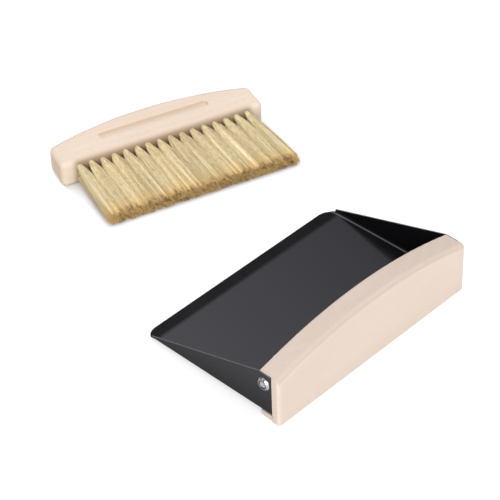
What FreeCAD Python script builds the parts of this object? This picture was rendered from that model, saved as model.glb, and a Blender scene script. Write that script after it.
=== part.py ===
"""A dustpan with a beech handle and its hand brush, which lies on its flat face in front of the pan.

The origin is the middle of the handle block's underside. +Z is up, +Y runs from the handle to the
pan's lip, and +X is to the right for someone who stands behind the handle. Millimetres.
"""
import FreeCAD
import Part
import math
import os
from FreeCAD import Matrix, Placement, Rotation, Vector

# Tray: one folded steel sheet
tray_width = 225.0
sheet = 1.0
lip_reach = 145.5  # from the middle of the handle to the lip
lip_strip = 14.0  # the strip along the lip that is turned down to the ground
lip_fold_radius = 30.0
floor_rise_rear = 5.6  # underside of the floor above the ground, at the handle
floor_rise_fold = 2.4  # and where the lip strip begins
wall_bend_radius = 3.7  # outside of the fold between floor and side wall
lip_corner_radius = 13.0
wall_setback = 9.6  # the side walls stop this far behind the lip
wall_corner_radius = 0.8
edge_rounding = 0.25  # the coat rounds the sheet's cut edges
bend_trim = 0.4  # what is left of the fold above the floor, in front of the side walls
flange_height = 47.9
flange_overlap = 13.3  # how far the side flanges reach over the handle's ends
flange_corner_radius = 1.5
knee_radius = 3.0
wall_height_at_lip = 2.6

# Handle: a beech block with a crowned top, let in at its ends so that the flanges lie flush
handle_depth = 21.0
handle_end_height = 47.7
handle_crown = 15.8
handle_back_round = 5.0
handle_corner_radius = 3.0  # of its two upright rear corners
handle_arris = 0.7
fit_gap = 0.1  # between the handle's end and the flange
kerf_height = 1.4  # saw kerf that takes the rear edge of the floor
kerf_spare = 1.2  # how much deeper the kerf is than the floor needs

# Fasteners: one oval-head wood screw in a cup washer at each end of the handle
screw_y = 5.2
screw_z = 37.2
shank_radius = 1.9
screw_length = 30.0
screw_point = 4.0
head_radius = 3.3
head_edge = 1.6  # height of the head's edge above the flange
head_dome = 0.9
recess_length = 3.8
recess_width = 0.9
recess_depth = 1.5
recess_turn = 28.0
washer_radius = 5.9
washer_edge = 0.5  # height of the washer's outer edge
washer_crest = 4.7  # radius where its top begins
washer_opening = 3.9  # and where its seat begins
washer_rounding = 0.8
flange_hole_radius = 2.2
pilot_radius = 1.95

# Brush block: beech, crowned along its back, with a finger groove in the upper face
brush_length = 202.0
brush_end_depth = 32.3
brush_crown = 16.3
brush_thickness = 26.0
brush_corner_radius = 6.0
brush_arris = 5.0
groove_length = 110.5
groove_width = 9.6
groove_depth = 2.2
groove_lean = 0.7  # sideways shift per depth, towards the crown
groove_offset = 1.2  # along the block from its middle
groove_setback = 25.6  # from the bristle side to the middle of the groove
brush_place = Vector(67.8, 308.1, 0.0)  # middle of the bristle side, on the ground
brush_turn = -19.3

# Tufts: drilled rows, each tuft folded in half round a staple at the bottom of its hole
tuft_columns = 16
tuft_rows = 3
tuft_pitch = 11.2
row_pitch = 6.8
lowest_row = 6.5
tuft_radius = 2.7
hole_clearance = 0.05
hole_depth = 15.0
bristle_reach = 68.5
flare_reach = 22.0  # where the spreading tufts meet
fan = 3.6  # how far the outer tufts spread to each side at the tips
lean = 9.9  # sideways set of the bristles at the tips
tip_height = 9.0
tip_rise = 0.4  # lowest tips above the ground
tuft_gap = 0.3
staple_length = 6.4
staple_width = 1.8
staple_thickness = 0.5

# Magnet in the underside of the brush block, which holds the brush in the pan
magnet_radius = 7.5
magnet_height = 4.0
magnet_recess = 0.2

half_width = tray_width / 2
half_depth = handle_depth / 2
tray_rear = half_depth - flange_overlap
fold_y = lip_reach - lip_strip
overrun = 6.0  # cutters run past what they cut
tall = handle_end_height + handle_crown + overrun


def floor_height(y):
    """Height of the underside of the floor's straight run above the ground."""
    return floor_rise_rear + (floor_rise_fold - floor_rise_rear) * (y - tray_rear) / (fold_y - tray_rear)


def floor_line(x, lift):
    """The floor in the side view, raised by lift: the run, the lip's fold and the lip strip."""
    rear = Vector(x, tray_rear, floor_rise_rear + lift)
    fold = Vector(x, fold_y, floor_rise_fold + lift)
    lip = Vector(x, lip_reach, lift)
    run = (fold - rear).normalize()
    strip = (lip - fold).normalize()
    half_turn = run.getAngle(strip) / 2
    tangent = lip_fold_radius * math.tan(half_turn)
    bulge = lip_fold_radius * (1 / math.cos(half_turn) - 1)
    start = rear - run * overrun
    arc_from = fold - run * tangent
    arc_middle = fold + (strip - run).normalize() * bulge
    arc_to = fold + strip * tangent
    end = lip + strip * overrun
    return [
        Part.LineSegment(start, arc_from).toShape(),
        Part.Arc(arc_from, arc_middle, arc_to).toShape(),
        Part.LineSegment(arc_to, end).toShape(),
    ], start, end


def trough(width, lift, bend):
    """A tall block that stands on the floor line, with its two lower long edges rounded."""
    edges, start, end = floor_line(-width / 2, lift)
    top_start = Vector(start.x, start.y, tall)
    top_end = Vector(end.x, end.y, tall)
    edges += Part.makePolygon([end, top_end, top_start, start]).Edges
    block = Part.Face(Part.Wire(edges)).extrude(Vector(width, 0, 0))
    low = [
        e for e in block.Edges
        if abs(abs(e.CenterOfMass.x) - width / 2) < 1e-6 and e.CenterOfMass.z < 2 * floor_rise_rear
    ]
    return block.makeFillet(bend, low)


def round_corner(before, corner, after, radius):
    """Where a round corner starts, its middle and where it ends."""
    back = (before - corner).normalize()
    on = (after - corner).normalize()
    half = back.getAngle(on) / 2
    tangent = radius / math.tan(half)
    middle = corner + (back + on).normalize() * (radius / math.sin(half) - radius)
    return corner + back * tangent, middle, corner + on * tangent


def rounded_face(corners):
    """A flat face from a closed list of (point, radius) corners; radius 0 stays sharp."""
    rounded = []
    for i, (corner, radius) in enumerate(corners):
        before = corners[i - 1][0]
        after = corners[(i + 1) % len(corners)][0]
        rounded.append(round_corner(before, corner, after, radius) if radius else (corner, None, corner))
    edges = []
    for i, (start, middle, end) in enumerate(rounded):
        if middle:
            edges.append(Part.Arc(start, middle, end).toShape())
        edges.append(Part.LineSegment(end, rounded[(i + 1) % len(rounded)][0]).toShape())
    return Part.Face(Part.Wire(edges))


def along_x(y, z, radius, start, length):
    """A cylinder along +X."""
    return Part.makeCylinder(radius, length, Vector(start, y, z), Vector(1, 0, 0))


def tray_side():
    """The side view of the tray: flanges, sloping side walls, and the low edge in front of them."""
    wall_drop = (flange_height - wall_height_at_lip) / (lip_reach - half_depth)
    strip_drop = floor_rise_fold / lip_strip
    edge_at_lip = sheet + bend_trim
    wall_end = lip_reach - wall_setback
    beyond_lip = lip_reach + overrun
    return rounded_face([
        (Vector(-half_width, tray_rear, -overrun), 0),
        (Vector(-half_width, beyond_lip, -overrun), 0),
        (Vector(-half_width, beyond_lip, edge_at_lip - strip_drop * overrun), 0),
        (Vector(-half_width, wall_end, edge_at_lip + strip_drop * wall_setback), 0),
        (Vector(-half_width, wall_end, wall_height_at_lip + wall_drop * wall_setback), wall_corner_radius),
        (Vector(-half_width, half_depth, flange_height), knee_radius),
        (Vector(-half_width, tray_rear, flange_height), flange_corner_radius),
    ]).extrude(Vector(tray_width, 0, 0))


def tray_plan():
    """The plan of the tray: square at the handle and as far as the side walls reach, round at the lip."""
    outline = rounded_face([
        (Vector(-half_width, tray_rear, -overrun), 0),
        (Vector(half_width, tray_rear, -overrun), 0),
        (Vector(half_width, lip_reach, -overrun), lip_corner_radius),
        (Vector(-half_width, lip_reach, -overrun), lip_corner_radius),
    ]).extrude(Vector(0, 0, tall))
    behind = Vector(-half_width, tray_rear, -overrun)
    return outline.fuse(Part.makeBox(tray_width, lip_reach - wall_setback - tray_rear, tall, behind))


def cut_edges(tray):
    """One or more edges from each run along the sheet's outline; a fillet carries on along the run."""
    walls = [e for e in tray.Edges if e.BoundBox.XLength < 1e-6 and e.BoundBox.ZLength > flange_height / 2]
    lip = [e for e in tray.Edges if e.BoundBox.XLength > half_width and e.BoundBox.YMin > lip_reach - 1e-6]
    return walls + lip


def make_tray():
    """The folded sheet: a channel with side walls and flanges, rounded at the lip, with two screw holes."""
    channel = trough(tray_width, 0, wall_bend_radius)
    channel = channel.cut(trough(tray_width - 2 * sheet, sheet, wall_bend_radius - sheet))
    holes = along_x(screw_y, screw_z, flange_hole_radius, -half_width - overrun, tray_width + 2 * overrun)
    tray = channel.common(tray_side()).common(tray_plan()).cut(holes).removeSplitter()
    return tray.makeFillet(edge_rounding, cut_edges(tray))


def crowned_face(half_length, end_height, crown):
    """A rectangle in the XY plane, x either way of 0 and y from 0, with its top edge crowned."""
    low_left = Vector(-half_length, 0, 0)
    low_right = Vector(half_length, 0, 0)
    high_right = Vector(half_length, end_height, 0)
    top = Vector(0, end_height + crown, 0)
    high_left = Vector(-half_length, end_height, 0)
    edges = Part.makePolygon([high_left, low_left, low_right, high_right]).Edges
    edges.append(Part.Arc(high_right, top, high_left).toShape())
    return Part.Face(Part.Wire(edges))


def make_pan_handle():
    """The handle block, with its rounded back and top, and the cuts that take the tray and screws."""
    upright = Placement(Vector(0, half_depth, 0), Rotation(Vector(1, 0, 0), 90))
    outline = crowned_face(half_width, handle_end_height, handle_crown)
    outline.Placement = upright
    block = outline.extrude(Vector(0, -handle_depth, 0))
    back = [
        e for e in block.Edges
        if abs(e.CenterOfMass.y + half_depth) < 1e-6 and e.CenterOfMass.z > handle_end_height
    ]
    block = block.makeFillet(handle_back_round, back)
    arrises = [
        e for e in block.Edges
        if abs(e.CenterOfMass.y - half_depth) < 1e-6 or abs(e.CenterOfMass.z) < 1e-6
    ]
    block = block.makeFillet(handle_arris, arrises)
    return block.common(handle_plan()).cut(floor_kerf()).cut(bend_reliefs()).cut(screw_pilots())


def handle_plan():
    """The plan of the handle: round rear corners, and ends stepped in where the flanges lie on them."""
    seat_x = half_width - sheet - fit_gap
    seat_y = tray_rear - fit_gap
    right = [
        (Vector(half_width, -half_depth, -overrun), handle_corner_radius),
        (Vector(half_width, seat_y, -overrun), 0),
        (Vector(seat_x, seat_y, -overrun), 0),
        (Vector(seat_x, half_depth, -overrun), 0),
    ]
    left = [(Vector(-corner.x, corner.y, corner.z), radius) for corner, radius in reversed(right)]
    return rounded_face(right + left).extrude(Vector(0, 0, tall + overrun))


def floor_kerf():
    """The saw kerf along the front of the handle that the rear edge of the floor slides into."""
    lift = (sheet - kerf_height) / 2
    deep, front = [
        Vector(-half_width, y, floor_height(y) + lift) for y in (tray_rear - kerf_spare, half_depth + overrun)
    ]
    cut = Part.LineSegment(deep, front).toShape()
    return cut.extrude(Vector(0, 0, kerf_height)).extrude(Vector(tray_width, 0, 0))


def bend_reliefs():
    """A notch at each end of the kerf, which clears the fold between floor and flange."""
    width = wall_bend_radius + fit_gap
    height = wall_bend_radius + kerf_height
    low = floor_rise_rear - kerf_height / 2
    notches = []
    for x in (-half_width, half_width - width):
        notches.append(Part.makeBox(width, handle_depth, height, Vector(x, tray_rear - fit_gap, low)))
    return notches


def screw_pilots():
    """The drilled holes for the screws in the ends of the handle."""
    depth = screw_length + overrun
    left = along_x(screw_y, screw_z, pilot_radius, -half_width - overrun, depth)
    right = along_x(screw_y, screw_z, pilot_radius, half_width + overrun - depth, depth)
    return [left, right]


def turned(profile, side):
    """A profile of (radius, height above the flange, rounding) corners turned about the screw's axis."""
    corners = [
        (Vector(side * (half_width + height), screw_y, screw_z + radius), rounding)
        for radius, height, rounding in profile
    ]
    return rounded_face(corners).revolve(Vector(0, screw_y, screw_z), Vector(1, 0, 0), 360)


def make_washer(side):
    """A cup washer: its cone stays fit_gap clear of the screw's and stands open around the head."""
    cone_offset = head_radius - head_edge + fit_gap
    top = washer_opening - cone_offset
    return turned([
        (flange_hole_radius, 0, 0),
        (washer_radius, 0, 0),
        (washer_radius, washer_edge, washer_edge / 2),
        (washer_crest, top, washer_rounding),
        (washer_opening, top, washer_rounding / 3),
        (flange_hole_radius, flange_hole_radius - cone_offset, 0),
    ], side)


def make_screw(side):
    """An oval-head wood screw with a cross recess; its thread isn't modelled."""
    body = turned([
        (0, head_edge, 0),
        (head_radius, head_edge, 0),
        (shank_radius, head_edge - head_radius + shank_radius, 0),
        (shank_radius, screw_point - screw_length, 0),
        (0, -screw_length, 0),
    ], side)
    sphere_radius = (head_radius ** 2 + head_dome ** 2) / (2 * head_dome)
    top = half_width + head_edge + head_dome
    crown = Part.makeSphere(sphere_radius)
    crown.translate(Vector(side * (top - sphere_radius), screw_y, screw_z))
    cap = along_x(screw_y, screw_z, head_radius, half_width + head_edge, 2 * head_dome)
    if side < 0:
        cap = cap.mirror(Vector(0, 0, 0), Vector(1, 0, 0))
    screw = body.fuse(crown.common(cap)).removeSplitter()
    for slot_y, slot_z in ((recess_length, recess_width), (recess_width, recess_length)):
        slot = Part.makeBox(2 * recess_depth, slot_y, slot_z)
        slot.translate(Vector(side * top - recess_depth, screw_y - slot_y / 2, screw_z - slot_z / 2))
        slot.rotate(Vector(0, screw_y, screw_z), Vector(1, 0, 0), recess_turn * side)
        screw = screw.cut(slot)
    return screw


def tuft_roots():
    """Each tuft's row, column and root on the bristle side, in the brush block's own frame."""
    for row in range(tuft_rows):
        for column in range(tuft_columns):
            x = (column - (tuft_columns - 1) / 2) * tuft_pitch
            yield row, column, Vector(x, 0, lowest_row + row * row_pitch)


def make_brush_block():
    """The block in its own frame: bristle side at y = 0, bristles towards -Y, underside at z = 0."""
    outline = crowned_face(brush_length / 2, brush_end_depth, brush_crown)
    block = outline.extrude(Vector(0, 0, brush_thickness))
    uprights = [e for e in block.Edges if abs(e.CenterOfMass.z - brush_thickness / 2) < 1e-6]
    block = block.makeFillet(brush_corner_radius, uprights)
    rims = [e for e in block.Edges if min(e.CenterOfMass.z, brush_thickness - e.CenterOfMass.z) < 1e-6]
    block = block.makeFillet(brush_arris, rims)
    pocket = Part.makeCylinder(
        magnet_radius + fit_gap, magnet_height + magnet_recess, Vector(0, groove_setback, 0)
    )
    block = block.cut(finger_groove()).cut(pocket)
    drill = tuft_radius + hole_clearance
    holes = [Part.makeCylinder(drill, hole_depth, root, Vector(0, 1, 0)) for _, _, root in tuft_roots()]
    return block.cut(holes)


def finger_groove():
    """A round-ended cove that leans towards the crown, so its bristle side runs out gently."""
    radius = ((groove_width / 2) ** 2 + groove_depth ** 2) / (2 * groove_depth)
    axis_z = brush_thickness - groove_depth + radius
    reach = (groove_length - groove_width) / 2
    along = Vector(1, 0, 0)
    left = Vector(groove_offset - reach, groove_setback, axis_z)
    right = Vector(groove_offset + reach, groove_setback, axis_z)
    bar = Part.makeCylinder(radius, 2 * reach, left, along)
    cove = bar.fuse([Part.makeSphere(radius, left, along), Part.makeSphere(radius, right, along)])
    shear = Matrix()
    shear.A23 = -groove_lean
    shear.A24 = groove_lean * brush_thickness
    return cove.transformGeometry(shear)


def ring(centre, half_x, half_z):
    """An ellipse across the bristles, wider along the brush than it is high."""
    ellipse = Part.Ellipse(centre + Vector(half_x, 0, 0), centre + Vector(0, 0, half_z), centre)
    return Part.Wire(ellipse.toShape())


def make_tuft(row, root):
    """A round root in its hole, then a bundle that spreads until it meets its neighbours."""
    spread = 1 + fan / ((tuft_columns - 1) / 2 * tuft_pitch)
    tip_row = tip_height / tuft_rows
    tip = Vector(root.x * spread + lean, -bristle_reach, tip_rise + (row + 0.5) * tip_row)
    share = flare_reach / bristle_reach
    meet = root + (tip - root) * share
    width_there = tuft_pitch * (1 + (spread - 1) * share)
    height_there = row_pitch + (tip_row - row_pitch) * share
    shank = Part.makeCylinder(tuft_radius, hole_depth - staple_width - hole_clearance, root, Vector(0, 1, 0))
    flare = Part.makeLoft([
        Part.Wire(Part.Circle(root, Vector(0, -1, 0), tuft_radius).toShape()),
        ring(meet, (width_there - tuft_gap) / 2, (height_there - tuft_gap) / 2),
        ring(tip, (tuft_pitch * spread - tuft_gap) / 2, (tip_row - tuft_gap) / 2),
    ], True, True)
    return shank.fuse(flare).removeSplitter()


def make_staples():
    """One flat staple across the bottom of each hole, pressed into the wood on both sides."""
    corner = Vector(-staple_length / 2, hole_depth - staple_width, -staple_thickness / 2)
    return Part.makeCompound([
        Part.makeBox(staple_length, staple_width, staple_thickness, root + corner)
        for _, _, root in tuft_roots()
    ])


def make_magnet():
    return Part.makeCylinder(magnet_radius, magnet_height, Vector(0, groove_setback, magnet_recess))


def place_brush(shape):
    """From the brush block's own frame to where the brush lies in front of the pan."""
    shape.Placement = Placement(brush_place, Rotation(Vector(0, 0, 1), brush_turn)).multiply(shape.Placement)
    return shape


def save(name, shape):
    """Writes one node, and says how many solids it has and their volume."""
    if not shape.isValid():
        raise ValueError(name + " is not a valid shape")
    shape.exportStep("parts/" + name + ".step")
    print(name, len(shape.Solids), round(shape.Volume, 1))


os.makedirs("parts", exist_ok=True)
save("tray", make_tray())
save("pan_handle", make_pan_handle())
for side_name, side_sign in (("left", -1), ("right", 1)):
    save(side_name + "_cup_washer", make_washer(side_sign))
    save(side_name + "_screw", make_screw(side_sign))
save("brush_block", place_brush(make_brush_block()))
save("brush_magnet", place_brush(make_magnet()))
save("tuft_staples", place_brush(make_staples()))
row_names = ("lower", "middle", "upper")
for tuft_row, tuft_column, tuft_root in tuft_roots():
    tuft_name = "tuft_" + row_names[tuft_row] + "_" + str(tuft_column + 1).zfill(2)
    save(tuft_name, place_brush(make_tuft(tuft_row, tuft_root)))
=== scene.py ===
import math
import bpy
import numpy as np
from mathutils import Matrix, Vector


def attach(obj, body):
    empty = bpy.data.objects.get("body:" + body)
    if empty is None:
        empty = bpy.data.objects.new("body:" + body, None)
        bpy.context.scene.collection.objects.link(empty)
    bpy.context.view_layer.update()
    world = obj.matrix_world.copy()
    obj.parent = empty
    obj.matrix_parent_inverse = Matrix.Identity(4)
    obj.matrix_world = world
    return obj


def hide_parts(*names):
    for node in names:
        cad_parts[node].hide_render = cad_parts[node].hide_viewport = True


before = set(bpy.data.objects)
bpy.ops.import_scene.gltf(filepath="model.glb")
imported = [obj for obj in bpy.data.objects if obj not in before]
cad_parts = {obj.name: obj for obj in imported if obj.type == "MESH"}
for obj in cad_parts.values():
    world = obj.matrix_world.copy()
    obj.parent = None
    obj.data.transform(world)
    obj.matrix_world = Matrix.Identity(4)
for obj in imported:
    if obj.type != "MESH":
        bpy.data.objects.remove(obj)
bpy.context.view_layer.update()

MM = 0.001
PER_METRE = (1000.0, 1000.0, 1000.0)  # turns metres into millimetres


def rgb(red, green, blue):
    """A display colour, 0 to 255, as a linear RGBA value."""
    def linear(level):
        level = level / 255.0
        return level / 12.92 if level <= 0.04045 else ((level + 0.055) / 1.055) ** 2.4
    return (linear(red), linear(green), linear(blue), 1.0)


# Camera: a long lens from behind and to the left of the pan, in metres and degrees
AIM = Vector((0.0, 0.0895, 0.0))
AZIMUTH = -44.10
ELEVATION = 40.33
ROLL = -2.17
DISTANCE = 1.70378
SLIDE_RIGHT = 0.03068
SLIDE_UP = -0.04204
FOCAL_SHARE = 2016.21 / 500.0  # focal length as a share of the picture's width
SENSOR = 36.0

# Brush block: its own frame as the CAD model has it, in metres and radians, and sizes in millimetres
BRUSH_PLACE = Vector((0.0678, 0.3081, 0.0))
BRUSH_TURN = math.radians(-19.3)
BLOCK_TOP = 26.0
GROOVE_MIDDLE = (1.2, 25.6)
GROOVE_HALF_LENGTH = 55.0

# Tufts: the CAD model's holes and tips, in millimetres
COLUMNS = 16
ROW_NAMES = ("lower", "middle", "upper")
PITCH = 11.2
ROW_PITCH = 6.8
LOWEST_ROW = 6.5
REACH = 68.5
FAN = 3.6
LEAN = 9.9
TIP_HEIGHT = 9.0
TIP_RISE = 0.4

# Bristles, in millimetres. Pairs are sideways and up, unless a comment says otherwise.
SEED = 20261
HAIRS = 300
RINGS = 8
HAIR_SIDES = 3
RING_BIAS = 1.25  # the rings lie closer together near the root
HAIR_RADIUS = (0.13, 0.20)  # thinnest and thickest
HAIR_TAPER = 0.38  # the share of its thickness that a hair loses
ROOT_DEPTH = 6.0
ROOT_RADIUS = 2.5
FLARE_LENGTH = 12.0  # the hairs spread fast at first, then ever more slowly
OUTER_FLARE = 40.0  # the same for the outer side of the first and last tufts
TIP_SHARE = (0.58, 0.56)  # half the width of a tuft's tips, as a share of its pitch and its height
CLUMPS = 26
CLUMP_PULL = (0.2, 0.65)  # how far hairs are drawn to the middle of their clump: least and most
CLUMP_SHIFT = (0.6, 0.25)
HAIR_SHIFT = (0.5, 0.2)
STRAY_SHARE = 0.05
STRAY_SHIFT = (1.8, 0.4)
STRAY_LIFT = 0.1
STRAY_SHORTER = 1.5
LOOSE_SHARE = 0.35  # of the hairs on the brush's two open sides
LOOSE_SHIFT = 2.2
TOP_SHORTER = 2.8  # the uppermost hairs end this far behind the lowest
CLUMP_LENGTH = 0.8
HAIR_LENGTH = (-0.3, 0.6)  # shift and scatter
SWING = 0.32
SWINGS = (5.5, 4.5)  # radians of wave along a hair
LOWEST_HAIR = 0.2

# The dense middle of each tuft
CORE_SIDES = 14
CORE_ROOT = 0.86  # its radius in the hole, and its width and height at the tips, as shares
CORE_WIDTH = 0.86
CORE_HEIGHT = 0.8
CORE_SHORTER = 1.0
LOWEST_CORE = 0.3
CORE_TINT = 0.2
CORE_SHADE = (0.08, 0.45)  # painted shade: everywhere, and more at the root

# Bristle colours
STRAW_PALE = rgb(255, 245, 203)
STRAW_DEEP = rgb(253, 223, 156)
# painted light: paler straw for the hairs on the brush's open sides
OPEN_SIDE_LIGHT = rgb(254, 231, 180)
STRAW_BROWN = rgb(176, 136, 84)
STREAK_BROWN = rgb(190, 146, 86)
GOLDEN = rgb(246, 208, 134)
# painted shade for hairs deep in the tuft and near the root
HAIR_ROOT_SHADE = rgb(128, 90, 50)
TIP_PALE = rgb(236, 196, 128)
TIP_BROWN = rgb(104, 68, 34)

# Beech: how fast each pattern changes along, across and through the grain, per millimetre
SWAY = (0.012, 0.03, 0.03)
FIBRES = (0.05, 1.5, 1.5)
PORES = (0.35, 5.0, 5.0)
RAYS = (0.42, 0.16, 2.6)
CLOUDS = (0.012, 0.035, 0.035)
TO_HEART = (0.0, 38.0, 64.0)  # moves the middle of the growth rings outside the piece
RAY_BROWN = rgb(176, 128, 92)
PORE_BROWN = rgb(150, 108, 78)
# painted highlight for the near side of the finger groove
GROOVE_HIGHLIGHT = rgb(254, 244, 230)
TOP_SHADE = (0.80, 0.79, 0.76, 1.0)  # these three multiply the wood's colour, as painted shade
ROOT_EDGE_SHADE = (0.46, 0.395, 0.33, 1.0)
GROOVE_SHADE = (0.74, 0.70, 0.65, 1.0)

# Tray side: where the walls' top edge starts to fall, its height there, and its drop per millimetre
WALL_OUTSIDE = 112.5
WALL_BAND = 1.2  # a little over the wall's thickness, so that both its faces lie within it
KNEE_Y = 10.5
FLANGE_HEIGHT = 47.9
WALL_DROP = 0.3356
COAT_DARK = (0.0038, 0.0038, 0.0045, 1.0)
COAT_LIGHT = (0.0075, 0.0074, 0.0088, 1.0)
# painted highlight along the walls' top edges
EDGE_HIGHLIGHT = (0.17, 0.17, 0.175, 1.0)

# Screws: the depth and height of their axis, and the radius of the gap round the head
SCREW_Y = 5.2
SCREW_Z = 37.2
GAP_RADIUS = 3.55
# painted shade in the ring round each screw's head
GAP_SHADE = (0.03, 0.03, 0.03, 1.0)

# Studio: soft boxes of light on a dim dome. Each has a direction, the angles in degrees between
# which it fades out, the elevations between which its lower edge fades, a brightness and a tint.
SOFT_BOXES = (
    ((0.046, 0.528, 0.848), 0.0, 40.5, 31.0, 36.0, 2.50, (1.0, 0.98, 1.10)),
    ((-0.70, -0.92, 0.50), 12.0, 48.0, -5.0, 10.0, 3.5, (1.0, 1.0, 1.0)),
    ((0.90, -0.10, 0.40), 10.0, 42.0, -5.0, 10.0, 1.5, (1.0, 1.0, 1.0)),
)
DOME = 0.04
BACKDROP = 1.05

# Floor: paper that is lit from within, apart from a stretch round the brush, in metres
FLOOR_REACH = 8.0
FLOOR_Z = -0.0003
FLOOR_GLOW = 0.66
BRUSH_STRETCH = (0.22, 0.15)  # where that stretch starts to fade in, and where it is full
PAPER_PALE = (0.42, 1.15)  # far from the brush and near it


def place_camera():
    azimuth = math.radians(AZIMUTH)
    elevation = math.radians(ELEVATION)
    roll = math.radians(ROLL)
    back = Vector((
        math.sin(azimuth) * math.cos(elevation),
        -math.cos(azimuth) * math.cos(elevation),
        math.sin(elevation),
    ))
    level = (-back).cross(Vector((0, 0, 1))).normalized()
    upright = level.cross(-back)
    right = level * math.cos(roll) + upright * math.sin(roll)
    up = upright * math.cos(roll) - level * math.sin(roll)
    spot = AIM + back * DISTANCE - right * SLIDE_RIGHT - up * SLIDE_UP
    lens = bpy.data.cameras.new("camera")
    lens.sensor_width = SENSOR
    lens.lens = FOCAL_SHARE * SENSOR
    lens.clip_start = 0.05
    lens.clip_end = 50.0
    camera = bpy.data.objects.new("camera", lens)
    turned = Matrix((right, up, back)).transposed().to_4x4()
    camera.matrix_world = Matrix.Translation(spot) @ turned
    bpy.context.scene.collection.objects.link(camera)
    bpy.context.scene.camera = camera


def put(tree, kind, inputs=None, **settings):
    """A node with its settings, and its inputs set to values or linked to outputs."""
    made = tree.nodes.new(kind)
    for name, value in settings.items():
        setattr(made, name, value)
    for name, value in (inputs or {}).items():
        if isinstance(value, bpy.types.NodeSocket):
            tree.links.new(value, made.inputs[name])
        else:
            made.inputs[name].default_value = value
    return made


def maths(tree, operation, a, b=0.0):
    return put(tree, "ShaderNodeMath", {0: a, 1: b}, operation=operation).outputs[0]


def plus(tree, a, b):
    return maths(tree, "ADD", a, b)


def minus(tree, a, b):
    return maths(tree, "SUBTRACT", a, b)


def times(tree, a, b):
    return maths(tree, "MULTIPLY", a, b)


def larger(tree, a, b):
    return maths(tree, "MAXIMUM", a, b)


def size_of(tree, a):
    return maths(tree, "ABSOLUTE", a)


def vectors(tree, operation, a, b=(0.0, 0.0, 0.0)):
    """The vector that an operation on vectors gives."""
    return put(tree, "ShaderNodeVectorMath", {0: a, 1: b}, operation=operation).outputs[0]


def measure(tree, operation, a, b):
    """The number that an operation on two vectors gives."""
    return put(tree, "ShaderNodeVectorMath", {0: a, 1: b}, operation=operation).outputs[1]


def axes(tree, vector):
    """A vector's X, Y and Z."""
    return put(tree, "ShaderNodeSeparateXYZ", {0: vector}).outputs


def joined(tree, x, y, z):
    return put(tree, "ShaderNodeCombineXYZ", {"X": x, "Y": y, "Z": z}).outputs[0]


def object_place(tree):
    return put(tree, "ShaderNodeTexCoord").outputs["Object"]


def surface_normal(tree):
    return put(tree, "ShaderNodeNewGeometry").outputs["Normal"]


def attribute(tree, name, kind="Fac"):
    return put(tree, "ShaderNodeAttribute", attribute_name=name).outputs[kind]


def spread(tree, value, low, high, out_low=0.0, out_high=1.0, kind="SMOOTHSTEP"):
    """The value mapped from low..high to out_low..out_high, and held there."""
    return put(
        tree, "ShaderNodeMapRange",
        {"Value": value, "From Min": low, "From Max": high, "To Min": out_low, "To Max": out_high},
        interpolation_type=kind,
    ).outputs[0]


def blend_colour(tree, share, a, b, kind="MIX"):
    """Colours a and b mixed. Inputs 6 and 7 and output 2 are the node's colour sockets."""
    made = put(tree, "ShaderNodeMix", {"Factor": share, 6: a, 7: b}, data_type="RGBA", blend_type=kind)
    return made.outputs[2]


def noise(tree, vector, scale, detail=2.0, roughness=0.5):
    return put(
        tree, "ShaderNodeTexNoise",
        {"Vector": vector, "Scale": scale, "Detail": detail, "Roughness": roughness},
    ).outputs[0]


def pattern(tree, place, rates, detail, roughness=0.5):
    """Noise that changes at its own rate along each axis."""
    return noise(tree, vectors(tree, "MULTIPLY", place, rates), 1.0, detail, roughness)


def new_material(name):
    material = bpy.data.materials.new(name)
    material.use_nodes = True
    tree = material.node_tree
    tree.nodes.clear()
    shader = put(tree, "ShaderNodeBsdfPrincipled")
    put(tree, "ShaderNodeOutputMaterial", {"Surface": shader.outputs[0]})
    return material, tree, shader


def link(tree, output, shader, name):
    tree.links.new(output, shader.inputs[name])


def bump(tree, shader, height, distance, strength=1.0):
    made = put(tree, "ShaderNodeBump", {"Height": height, "Distance": distance, "Strength": strength})
    link(tree, made.outputs[0], shader, "Normal")


def painted_top_shade(tree, local, colour):
    """Painted shade: the upper side of the pan's handle is a little darker."""
    upward = axes(tree, surface_normal(tree))["Z"]
    return blend_colour(tree, spread(tree, upward, 0.1, 0.6), colour, TOP_SHADE, "MULTIPLY")


def root_painted_shade(tree, place, colour):
    """A darker band along the bristles that fades over the edge of the upper face.

    It is painted shade, put into the wood's colour.
    """
    over_edge = larger(tree, minus(tree, place["Z"], BLOCK_TOP - 3.2), 0.0)
    from_roots = plus(tree, larger(tree, place["Y"], 0.0), over_edge)
    painted_shade = minus(tree, 1.0, spread(tree, from_roots, -0.5, 10.0))
    painted_shade = times(tree, painted_shade, spread(tree, size_of(tree, place["X"]), 93.0, 84.0))
    return blend_colour(tree, painted_shade, colour, ROOT_EDGE_SHADE, "MULTIPLY")


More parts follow.
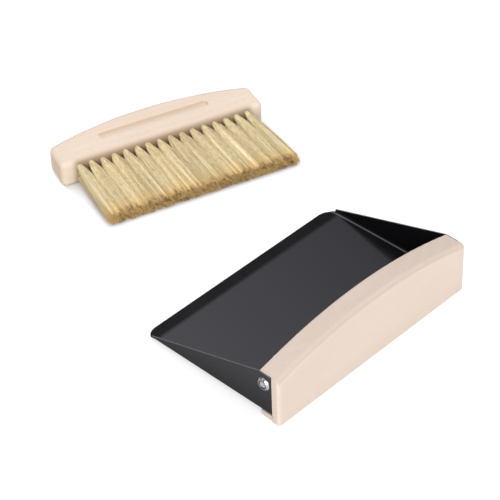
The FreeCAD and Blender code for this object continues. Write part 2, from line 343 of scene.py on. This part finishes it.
def groove_painted_light(tree, place, colour):
    """The finger groove: painted shade darkens its far side, and a painted highlight makes its near side
    pale.
    """
    across = minus(tree, place["Y"], GROOVE_MIDDLE[1])
    ahead = minus(tree, place["X"], GROOVE_MIDDLE[0])
    sunk = minus(tree, 1.0, spread(tree, place["Z"], BLOCK_TOP - 0.5, BLOCK_TOP - 0.03))
    high = spread(tree, place["Z"], BLOCK_TOP - 6.0, BLOCK_TOP - 5.0)
    beside = maths(tree, "LESS_THAN", size_of(tree, across), 7.0)
    along = maths(tree, "LESS_THAN", size_of(tree, ahead), GROOVE_HALF_LENGTH + 3.0)
    inside = times(tree, times(tree, sunk, high), times(tree, beside, along))
    far_side = larger(tree, across, minus(tree, ahead, GROOVE_HALF_LENGTH - 4.0))
    painted_shade = times(tree, spread(tree, far_side, -1.5, 4.6), inside)
    colour = blend_colour(tree, painted_shade, colour, GROOVE_SHADE, "MULTIPLY")
    painted_highlight = times(tree, spread(tree, across, -1.0, -4.0), inside)
    return blend_colour(tree, times(tree, painted_highlight, 0.7), colour, GROOVE_HIGHLIGHT)


def brush_painted_light(tree, local, colour):
    # Painted shade along the bristles and in the groove, and a painted highlight in the groove.
    place = axes(tree, local)
    return groove_painted_light(tree, place, root_painted_shade(tree, place, colour))


def growth_rings(tree, swayed):
    return put(
        tree, "ShaderNodeTexWave",
        {"Vector": vectors(tree, "ADD", swayed, TO_HEART), "Scale": 0.075, "Distortion": 2.2,
         "Detail": 2.0, "Detail Scale": 0.05, "Detail Roughness": 0.5},
        wave_type="RINGS", rings_direction="X", wave_profile="SIN",
    ).outputs[1]


def beech(name, origin, turn, pale, deep, end_tone, painted_light):
    """Steamed beech: faint growth rings, short ray flecks, fine fibres and another tone on end grain.

    The grain runs along the piece's own x. Coordinates are turned into that frame, in millimetres.
    """
    material, tree, shader = new_material(name)
    moved = vectors(tree, "SUBTRACT", object_place(tree), origin)
    local = put(
        tree, "ShaderNodeMapping", {"Vector": moved, "Rotation": (0.0, 0.0, -turn), "Scale": PER_METRE},
        vector_type="POINT",
    ).outputs[0]
    sway = pattern(tree, local, SWAY, 2.0)
    swayed = vectors(tree, "ADD", local, joined(tree, 0.0, times(tree, sway, 9.0), times(tree, sway, 5.0)))
    fibres = pattern(tree, swayed, FIBRES, 3.0, 0.6)
    pores = pattern(tree, swayed, PORES, 2.0, 0.6)
    rays = pattern(tree, swayed, RAYS, 1.0, 0.4)
    tone = plus(tree, times(tree, growth_rings(tree, swayed), 0.12), times(tree, fibres, 0.42))
    tone = plus(tree, tone, times(tree, pattern(tree, local, CLOUDS, 3.0), 0.66))
    colour = blend_colour(tree, spread(tree, tone, 0.35, 0.90, kind="LINEAR"), pale, deep)
    colour = blend_colour(tree, times(tree, spread(tree, rays, 0.60, 0.74), 0.07), colour, RAY_BROWN)
    colour = blend_colour(tree, spread(tree, pores, 0.60, 0.80, 0.0, 0.08), colour, PORE_BROWN)
    grain_way = (math.cos(turn), math.sin(turn), 0.0)
    facing = size_of(tree, measure(tree, "DOT_PRODUCT", surface_normal(tree), grain_way))
    end_grain = spread(tree, facing, 0.55, 0.95)
    colour = blend_colour(tree, times(tree, end_grain, 0.8), colour, end_tone, "MULTIPLY")
    # The last step adds painted shade, and on the brush a painted highlight.
    link(tree, painted_light(tree, local, colour), shader, "Base Color")
    rough = plus(tree, times(tree, fibres, 0.14), 0.46)
    link(tree, plus(tree, rough, times(tree, end_grain, 0.12)), shader, "Roughness")
    shader.inputs["IOR"].default_value = 1.46
    shader.inputs["Specular IOR Level"].default_value = 0.32
    height = plus(tree, times(tree, fibres, 0.6), times(tree, pores, 0.4))
    bump(tree, shader, height, 0.00006, 0.8)
    return material


def powder_coat():
    """Black satin powder coat: a fine orange peel, small changes of sheen, and very fine speckle.

    A painted highlight gives the walls' top edges a light line. Both faces of the walls gain gloss with
    height, which is fitted to how the photograph's walls lighten upwards. The export drops that gain.
    """
    material, tree, shader = new_material("black_powder_coat")
    here = object_place(tree)
    peel = noise(tree, here, 1150.0, 2.0, 0.45)
    grains = noise(tree, here, 4200.0, 1.0, 0.5)
    cloud = noise(tree, here, 26.0, 3.0, 0.55)
    tone = plus(tree, times(tree, cloud, 0.6), times(tree, grains, 0.4))
    colour = blend_colour(tree, tone, COAT_DARK, COAT_LIGHT)
    place = axes(tree, vectors(tree, "MULTIPLY", here, PER_METRE))
    falling = times(tree, minus(tree, place["Y"], KNEE_Y), WALL_DROP)
    top_line = minus(tree, FLANGE_HEIGHT, larger(tree, falling, 0.0))
    below = minus(tree, top_line, place["Z"])
    on_wall = maths(tree, "GREATER_THAN", size_of(tree, place["X"]), WALL_OUTSIDE - WALL_BAND)
    # Painted highlight: a light line along the walls' top edges.
    painted_highlight = times(tree, minus(tree, 1.0, spread(tree, below, 0.12, 0.35)), on_wall)
    colour = blend_colour(tree, times(tree, painted_highlight, 0.85), colour, EDGE_HIGHLIGHT)
    link(tree, colour, shader, "Base Color")
    rough = spread(tree, cloud, 0.3, 0.7, 0.19, 0.23, "LINEAR")
    link(tree, plus(tree, rough, times(tree, grains, 0.03)), shader, "Roughness")
    shader.inputs["IOR"].default_value = 1.5
    polished = spread(tree, place["Z"], 6.0, 44.0, -0.17, 0.22, "LINEAR")
    link(tree, plus(tree, times(tree, polished, on_wall), 0.5), shader, "Specular IOR Level")
    bump(tree, shader, plus(tree, peel, times(tree, grains, 0.2)), 0.000012, 0.6)
    return material


def gap_painted_shade(tree, here, colour):
    """Painted shade in the ring between a screw's head and its cup washer."""
    place = axes(tree, here)
    centre = (0.0, SCREW_Y * MM, SCREW_Z * MM)
    radius = measure(tree, "DISTANCE", joined(tree, 0.0, place["Y"], place["Z"]), centre)
    off = size_of(tree, minus(tree, radius, GAP_RADIUS * MM))
    gap_shade_share = spread(tree, off, 0.85 * MM, 0.45 * MM, 0.0, 0.85)
    return blend_colour(tree, gap_shade_share, colour, GAP_SHADE)


def bright_metal(name, tint, low_roughness, high_roughness, scale):
    """Plated metal with faint turning marks and a roughness that changes over it."""
    material, tree, shader = new_material(name)
    here = object_place(tree)
    cloud = noise(tree, here, scale, 3.0, 0.6)
    fine = noise(tree, here, scale * 9.0, 2.0, 0.5)
    darker = tuple(level * 0.82 for level in tint[:3]) + (1.0,)
    colour = blend_colour(tree, spread(tree, cloud, 0.35, 0.75), tint, darker)
    # Painted shade in the ring round the screw heads.
    link(tree, gap_painted_shade(tree, here, colour), shader, "Base Color")
    shader.inputs["Metallic"].default_value = 1.0
    rough = spread(tree, fine, 0.3, 0.7, low_roughness, high_roughness, "LINEAR")
    link(tree, rough, shader, "Roughness")
    bump(tree, shader, fine, 0.000006, 0.5)
    return material


def streaks(tree, here):
    """Short brown dashes along the hairs, which lean sideways as they leave the block."""
    turned = put(tree, "ShaderNodeMapping", {"Vector": here, "Rotation": (0.0, 0.0, -BRUSH_TURN)})
    place = axes(tree, turned.outputs[0])
    upright = plus(tree, place["X"], times(tree, place["Y"], LEAN / REACH))
    stretched = joined(
        tree, times(tree, upright, 1150.0), times(tree, place["Y"], 190.0), times(tree, place["Z"], 900.0))
    return spread(tree, noise(tree, stretched, 1.0, 1.0, 0.5), 0.50, 0.36, 0.0, 0.42)


def straw_colour(tree, here, tint, mottle, along):
    """The hairs between root and tip. A tint below 0 marks the hairs on the brush's open sides, painted
    paler as painted light.
    """
    straw = blend_colour(tree, tint, STRAW_PALE, STRAW_DEEP)
    straw = blend_colour(tree, times(tree, mottle, 0.2), straw, STRAW_DEEP)
    straw = blend_colour(tree, spread(tree, tint, 0.82, 0.95, 0.0, 0.55), straw, STRAW_BROWN)
    dashes = times(tree, streaks(tree, here), spread(tree, tint, -0.3, 0.0))
    straw = blend_colour(tree, dashes, straw, STREAK_BROWN)
    straw = blend_colour(tree, spread(tree, tint, 0.0, -0.5), straw, OPEN_SIDE_LIGHT)
    straw = blend_colour(tree, spread(tree, along, 0.70, 0.95, 0.0, 0.5), straw, GOLDEN)
    # Painted shade: hairs deep in the tuft and near the root turn brown.
    return blend_colour(tree, attribute(tree, "shade"), straw, HAIR_ROOT_SHADE)


def bristle_material():
    """Natural bristle: straw that varies from hair to hair, with brown speckled tips.

    Shading normals lean towards the "outward" attribute, so that a tuft shades as one soft form.
    """
    material, tree, shader = new_material("natural_bristle")
    here = object_place(tree)
    along = attribute(tree, "along")
    mottle = noise(tree, here, 900.0, 2.0, 0.6)
    straw = straw_colour(tree, here, attribute(tree, "tint"), mottle, along)
    tips = spread(tree, plus(tree, along, times(tree, mottle, 0.08)), 0.95, 1.03, 0.0, 0.95)
    brown = spread(tree, attribute(tree, "chance"), 0.55, 0.68)
    colour = blend_colour(tree, tips, straw, blend_colour(tree, brown, TIP_PALE, TIP_BROWN))
    link(tree, colour, shader, "Base Color")
    leaning = put(
        tree, "ShaderNodeMix",
        {"Factor": 0.8, 4: surface_normal(tree), 5: attribute(tree, "outward", "Vector")},
        data_type="VECTOR",
    ).outputs[1]
    link(tree, vectors(tree, "NORMALIZE", leaning), shader, "Normal")
    link(tree, spread(tree, mottle, 0.3, 0.7, 0.42, 0.55, "LINEAR"), shader, "Roughness")
    shader.inputs["Specular IOR Level"].default_value = 0.35
    shader.inputs["Sheen Weight"].default_value = 0.15
    shader.inputs["Sheen Roughness"].default_value = 0.4
    return material


def outer_side(column, disc_x):
    """How far hairs lie towards the open side of the first or the last tuft, 0 to 1."""
    if column == 0:
        return np.clip(-disc_x, 0, 1)
    if column == COLUMNS - 1:
        return np.clip(disc_x, 0, 1)
    return np.zeros_like(disc_x)


def bundle(row, column, disc, tip_x_off, tip_z_off, out):
    """Lines that leave a hole at disc: their x and z at each step out, and how far they have flared."""
    spread_out = 1 + FAN / ((COLUMNS - 1) / 2 * PITCH)
    root_x = (column - (COLUMNS - 1) / 2) * PITCH
    root_z = LOWEST_ROW + row * ROW_PITCH
    tip_x = root_x * spread_out + LEAN
    tip_z = TIP_RISE + (row + 0.5) * TIP_HEIGHT / len(ROW_NAMES)
    settle = out / REACH
    slow = outer_side(column, disc[:, 0])[:, None]
    flare = 1 - np.exp(-out / (FLARE_LENGTH + (OUTER_FLARE - FLARE_LENGTH) * slow))
    start = disc * ROOT_RADIUS
    x = root_x + (tip_x - root_x) * settle + start[:, :1] + (tip_x_off[:, None] - start[:, :1]) * flare
    z = root_z + (tip_z - root_z) * settle + start[:, 1:] + (tip_z_off[:, None] - start[:, 1:]) * flare
    return x, z, flare


def hair_clumps(random, square):
    """Hairs cling together in clumps: each hair's place in the tuft, and its clump's values."""
    middle = random.uniform(-1, 1, (CLUMPS, 2))
    values = {
        "turn": random.normal(0, 1, (CLUMPS, 2)),
        "tint": random.uniform(0, 1, CLUMPS),
        "chance": random.uniform(0, 1, CLUMPS),
        "length": random.normal(0, CLUMP_LENGTH, CLUMPS),
    }
    nearest = np.argmin(((square[:, None] - middle[None]) ** 2).sum(2), 1)
    pulled = square + (middle[nearest] - square) * random.uniform(*CLUMP_PULL, HAIRS)[:, None]
    return pulled, {name: value[nearest] for name, value in values.items()}


def tip_offsets(random, pulled, turn, stray, disc_x, outer):
    """How far each hair's tip lies from the middle of the tuft's tips, sideways and up."""
    x = pulled[:, 0] * PITCH * TIP_SHARE[0] + turn[:, 0] * CLUMP_SHIFT[0]
    x += random.normal(0, HAIR_SHIFT[0], HAIRS) + stray * random.normal(0, STRAY_SHIFT[0], HAIRS)
    loose = outer * (random.uniform(0, 1, HAIRS) < LOOSE_SHARE)
    x += np.sign(disc_x) * loose * np.abs(random.normal(0, LOOSE_SHIFT, HAIRS))
    tip_row = TIP_HEIGHT / len(ROW_NAMES)
    z = pulled[:, 1] * tip_row * TIP_SHARE[1] + turn[:, 1] * CLUMP_SHIFT[1]
    z += random.normal(0, HAIR_SHIFT[1], HAIRS) + stray * random.normal(STRAY_LIFT, STRAY_SHIFT[1], HAIRS)
    return x, z


def hair_paths(random, row, column):
    """One tuft's hairs in the block's frame: centre lines, hairs x rings x 3, and how they are shaded."""
    angle = random.uniform(0, 2 * math.pi, HAIRS)
    share = np.sqrt(random.uniform(0, 1, HAIRS))
    disc = np.stack([share * np.cos(angle), share * np.sin(angle)], 1)
    square = disc * (share / np.maximum(np.abs(disc).max(1), 1e-6))[:, None]
    outer = outer_side(column, disc[:, 0])
    pulled, clump = hair_clumps(random, square)
    stray = (random.uniform(0, 1, HAIRS) < STRAY_SHARE) * 1.0
    tip_x_off, tip_z_off = tip_offsets(random, pulled, clump["turn"], stray, disc[:, 0], outer)
    height = (row + 0.5 + 0.5 * disc[:, 1]) / len(ROW_NAMES)
    length = REACH - TOP_SHORTER * height ** 2 + clump["length"] * (0.25 + height)
    length += random.normal(*HAIR_LENGTH, HAIRS) - np.abs(stray * random.normal(0, STRAY_SHORTER, HAIRS))
    along = np.linspace(0, 1, RINGS) ** RING_BIAS
    reach = -ROOT_DEPTH + along[None] * (ROOT_DEPTH + length[:, None])
    out = np.clip(reach, 0, None)
    wave = random.uniform(0, 2 * math.pi, (HAIRS, 2))
    swing = random.normal(0, SWING, (HAIRS, 2))
    x, z, flare = bundle(row, column, disc, tip_x_off, tip_z_off, out)
    x += swing[:, :1] * np.sin(out / REACH * SWINGS[0] + wave[:, :1]) * flare
    z += swing[:, 1:] * np.sin(out / REACH * SWINGS[1] + wave[:, 1:]) * flare * 0.6
    looks = hair_looks(random, clump, disc, height, outer, flare)
    return np.stack([x, -reach, np.maximum(z, LOWEST_HAIR)], 2), along, looks


def hair_looks(random, clump, disc, height, outer, flare):
    """Each hair's tint, its chance of a brown tip, its painted shade near the root, and the way it faces.
    """
    tint = 0.4 * clump["tint"] + 0.6 * random.uniform(0, 1, HAIRS)
    chance = 0.55 * clump["chance"] + 0.45 * random.uniform(0, 1, HAIRS)
    # Painted light: the hairs on the open sides are paler and lose the painted shade of buried hairs.
    pale = np.clip(1.6 * outer, 0, 1)
    tint -= (tint + 0.6) * pale
    chance *= 1 - 0.7 * pale
    buried = np.clip((0.92 - height) / 0.25, 0, 1) * (1 - np.clip(2.5 * outer, 0, 1))
    shade = np.clip(buried[:, None] * (0.95 - 0.6 * flare), 0, 1)
    outward = np.stack([
        disc[:, :1] * (1 - flare) * 0.9,
        np.full_like(flare, -0.35),
        0.75 + 0.4 * np.maximum(disc[:, 1:], 0) * (1 - flare),
    ], 2)
    return tint, chance, shade, outward


def hair_rings(random, lines, along):
    """The corners of each hair's cross-section round its centre line: hairs x rings x sides x 3."""
    thick = random.uniform(*HAIR_RADIUS, HAIRS)
    taper = 1 - HAIR_TAPER * along ** 2
    turn = random.uniform(0, 2 * math.pi, HAIRS)
    corners = turn[:, None] + np.arange(HAIR_SIDES) * (2 * math.pi / HAIR_SIDES)
    radius = thick[:, None] * taper[None]
    ring = np.stack([np.cos(corners), np.zeros_like(corners), np.sin(corners)], 2)
    return lines[:, :, None] + ring[:, None] * radius[:, :, None, None]


def core_rings(row, column, along):
    """The dense middle of the tuft, where hairs lie too close to tell apart: rings x sides x 3."""
    angle = np.arange(CORE_SIDES) * (2 * math.pi / CORE_SIDES)
    disc = np.stack([np.cos(angle), np.sin(angle)], 1)
    square = disc / np.abs(disc).max(1)[:, None] ** 0.7
    tip_x_off = square[:, 0] * PITCH * 0.5 * CORE_WIDTH
    tip_z_off = square[:, 1] * TIP_HEIGHT / len(ROW_NAMES) * 0.5 * CORE_HEIGHT
    length = REACH - TOP_SHORTER - CORE_SHORTER
    reach = -ROOT_DEPTH + along * (ROOT_DEPTH + length)
    out = np.tile(np.clip(reach, 0, None), (CORE_SIDES, 1))
    x, z, flare = bundle(row, column, disc * CORE_ROOT, tip_x_off, tip_z_off, out)
    z = np.maximum(z, LOWEST_CORE)
    return np.stack([x, np.tile(-reach, (CORE_SIDES, 1)), z], 2).transpose(1, 0, 2), flare.T


def tube_faces(first, rings, sides):
    """The faces of a closed tube whose rings of corners start at the index first."""
    faces = []
    for step in range(rings - 1):
        low = first + step * sides
        for side in range(sides):
            after = (side + 1) % sides
            faces.append((low + side, low + after, low + after + sides, low + side + sides))
    last = first + (rings - 1) * sides
    faces.append(tuple(last + side for side in range(sides)))
    faces.append(tuple(first + side for side in reversed(range(sides))))
    return faces


def add_looks(mesh, along, looks, core_flare, turned):
    """The values that the bristle material reads, for every corner of the hairs and then of the core."""
    tint, chance, shade, outward = looks
    per_hair = RINGS * HAIR_SIDES
    in_core = RINGS * CORE_SIDES
    core_shade = (CORE_SHADE[0] + CORE_SHADE[1] * (1 - core_flare)).reshape(-1)
    for label, values, core_values in (
        ("along", np.tile(np.repeat(along, HAIR_SIDES), HAIRS), np.repeat(along, CORE_SIDES)),
        ("tint", np.repeat(tint, per_hair), np.full(in_core, CORE_TINT)),
        ("chance", np.repeat(chance, per_hair), np.full(in_core, 0.5)),
        ("shade", np.repeat(shade.reshape(-1), HAIR_SIDES), core_shade),
    ):
        both = np.concatenate([values, core_values]).astype(np.float32)
        mesh.attributes.new(label, "FLOAT", "POINT").data.foreach_set("value", both)
    facing = np.repeat(outward.reshape(-1, 3), HAIR_SIDES, axis=0)
    facing = np.concatenate([facing, np.tile((0.0, -0.3, 1.0), (in_core, 1))]) @ turned
    mesh.attributes.new("outward", "FLOAT_VECTOR", "POINT").data.foreach_set(
        "vector", facing.reshape(-1).astype(np.float32))


def tuft_mesh(name, row, column, to_world, material):
    random = np.random.default_rng(SEED + row * COLUMNS + column)
    lines, along, looks = hair_paths(random, row, column)
    hairs = hair_rings(random, lines, along)
    core, core_flare = core_rings(row, column, along)
    turned = np.array(to_world.to_3x3()).T
    points = np.concatenate([hairs.reshape(-1, 3), core.reshape(-1, 3)]) * MM
    points = points @ turned + np.array(to_world.translation)
    faces = []
    for hair in range(HAIRS):
        faces += tube_faces(hair * RINGS * HAIR_SIDES, RINGS, HAIR_SIDES)
    faces += tube_faces(HAIRS * RINGS * HAIR_SIDES, RINGS, CORE_SIDES)
    mesh = bpy.data.meshes.new(name)
    mesh.from_pydata(points.tolist(), [], faces)
    mesh.polygons.foreach_set("use_smooth", [True] * len(mesh.polygons))
    add_looks(mesh, along, looks, core_flare, turned)
    mesh.materials.append(material)
    tuft = bpy.data.objects.new(name, mesh)
    bpy.context.scene.collection.objects.link(tuft)
    return tuft


def make_bristles():
    to_world = Matrix.Translation(BRUSH_PLACE) @ Matrix.Rotation(BRUSH_TURN, 4, "Z")
    material = bristle_material()
    for row, row_name in enumerate(ROW_NAMES):
        for column in range(COLUMNS):
            place = row_name + "_" + str(column + 1).zfill(2)
            tuft = tuft_mesh("bristles_" + place, row, column, to_world, material)
            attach(tuft, "brush")
            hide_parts("tuft_" + place)


def give(material, slot, *nodes):
    """The material in place of a CAD node's own."""
    for name in nodes:
        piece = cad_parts[name]
        piece.data.materials.clear()
        piece.data.materials.append(material)


def floor_paper():
    """Matt grey paper. Camera rays see it lit from within, with soft shadows only round the brush."""
    material, tree, shader = new_material("floor_paper")
    here = object_place(tree)
    paper = noise(tree, here, 40.0, 3.0, 0.5)
    grey = blend_colour(tree, paper, (0.54, 0.54, 0.54, 1), (0.56, 0.56, 0.56, 1))
    link(tree, grey, shader, "Base Color")
    shader.inputs["Roughness"].default_value = 0.9
    shader.inputs["Specular IOR Level"].default_value = 0.1
    by_brush = spread(tree, measure(tree, "DISTANCE", here, tuple(BRUSH_PLACE)), *BRUSH_STRETCH)
    matt = put(tree, "ShaderNodeBsdfDiffuse", {
        "Color": spread(tree, by_brush, 0.0, 1.0, *PAPER_PALE, "LINEAR")})
    glow = put(tree, "ShaderNodeEmission", {
        "Strength": spread(tree, by_brush, 0.0, 1.0, FLOOR_GLOW, 0.0, "LINEAR")})
    lit = put(tree, "ShaderNodeAddShader", {0: matt.outputs[0], 1: glow.outputs[0]})
    seen = put(tree, "ShaderNodeLightPath").outputs["Is Camera Ray"]
    both = put(tree, "ShaderNodeMixShader", {0: seen, 1: shader.outputs[0], 2: lit.outputs[0]})
    tree.links.new(both.outputs[0], tree.nodes["Material Output"].inputs["Surface"])
    return material


def make_floor():
    mesh = bpy.data.meshes.new("floor")
    corners = [(-1, -1), (1, -1), (1, 1), (-1, 1)]
    mesh.from_pydata([(x * FLOOR_REACH, y * FLOOR_REACH, FLOOR_Z) for x, y in corners], [], [(0, 1, 2, 3)])
    mesh.materials.append(floor_paper())
    floor = bpy.data.objects.new("floor", mesh)
    bpy.context.scene.collection.objects.link(floor)


def light_studio():
    world = bpy.data.worlds.new("studio")
    bpy.context.scene.world = world
    world.use_nodes = True
    tree = world.node_tree
    tree.nodes.clear()
    towards = put(tree, "ShaderNodeTexCoord").outputs["Generated"]
    height = axes(tree, towards)["Z"]
    total = (DOME, DOME, DOME)
    for direction, inner, outer, low, full, brightness, tint in SOFT_BOXES:
        unit = tuple(Vector(direction).normalized())
        cosine = measure(tree, "DOT_PRODUCT", towards, unit)
        rim, middle = math.cos(math.radians(outer)), math.cos(math.radians(inner))
        box = spread(tree, cosine, rim, middle, 0.0, brightness)
        edge = spread(tree, height, math.sin(math.radians(low)), math.sin(math.radians(full)))
        scaled = {0: tint, "Scale": times(tree, box, edge)}
        glow = put(tree, "ShaderNodeVectorMath", scaled, operation="SCALE").outputs[0]
        total = vectors(tree, "ADD", glow, total)
    light = put(tree, "ShaderNodeBackground", {"Color": total})
    white = put(tree, "ShaderNodeBackground", {"Strength": BACKDROP})
    seen = put(tree, "ShaderNodeLightPath").outputs["Is Camera Ray"]
    mixed = put(tree, "ShaderNodeMixShader", {0: seen, 1: light.outputs[0], 2: white.outputs[0]})
    put(tree, "ShaderNodeOutputWorld", {"Surface": mixed.outputs[0]})
    bpy.context.scene.view_settings.view_transform = "Standard"


place_camera()
make_floor()
light_studio()
pan_wood = beech(
    "beech_pan", (0.0, 0.0, 0.0), 0.0,
    rgb(238, 222, 207), rgb(231, 213, 197), (1.12, 1.10, 1.08, 1.0), painted_top_shade,
)
brush_wood = beech(
    "beech_brush", tuple(BRUSH_PLACE), BRUSH_TURN,
    rgb(237, 219, 198), rgb(230, 209, 186), (1.12, 1.09, 1.04, 1.0), brush_painted_light,
)
chrome = bright_metal("bright_chrome", (0.94, 0.94, 0.94, 1.0), 0.20, 0.30, 700.0)
nickel = bright_metal("magnet_nickel", (0.60, 0.59, 0.57, 1.0), 0.22, 0.38, 260.0)
zinc = bright_metal("staple_zinc", (0.50, 0.51, 0.53, 1.0), 0.32, 0.5, 500.0)
give(powder_coat(), "powder_coated_steel", "tray")
give(pan_wood, "beech", "pan_handle")
give(brush_wood, "beech", "brush_block")
give(chrome, "bright_steel", "left_cup_washer", "left_screw", "right_cup_washer", "right_screw")
give(nickel, "magnet_plating", "brush_magnet")
give(zinc, "galvanised_wire", "tuft_staples")
make_bristles()
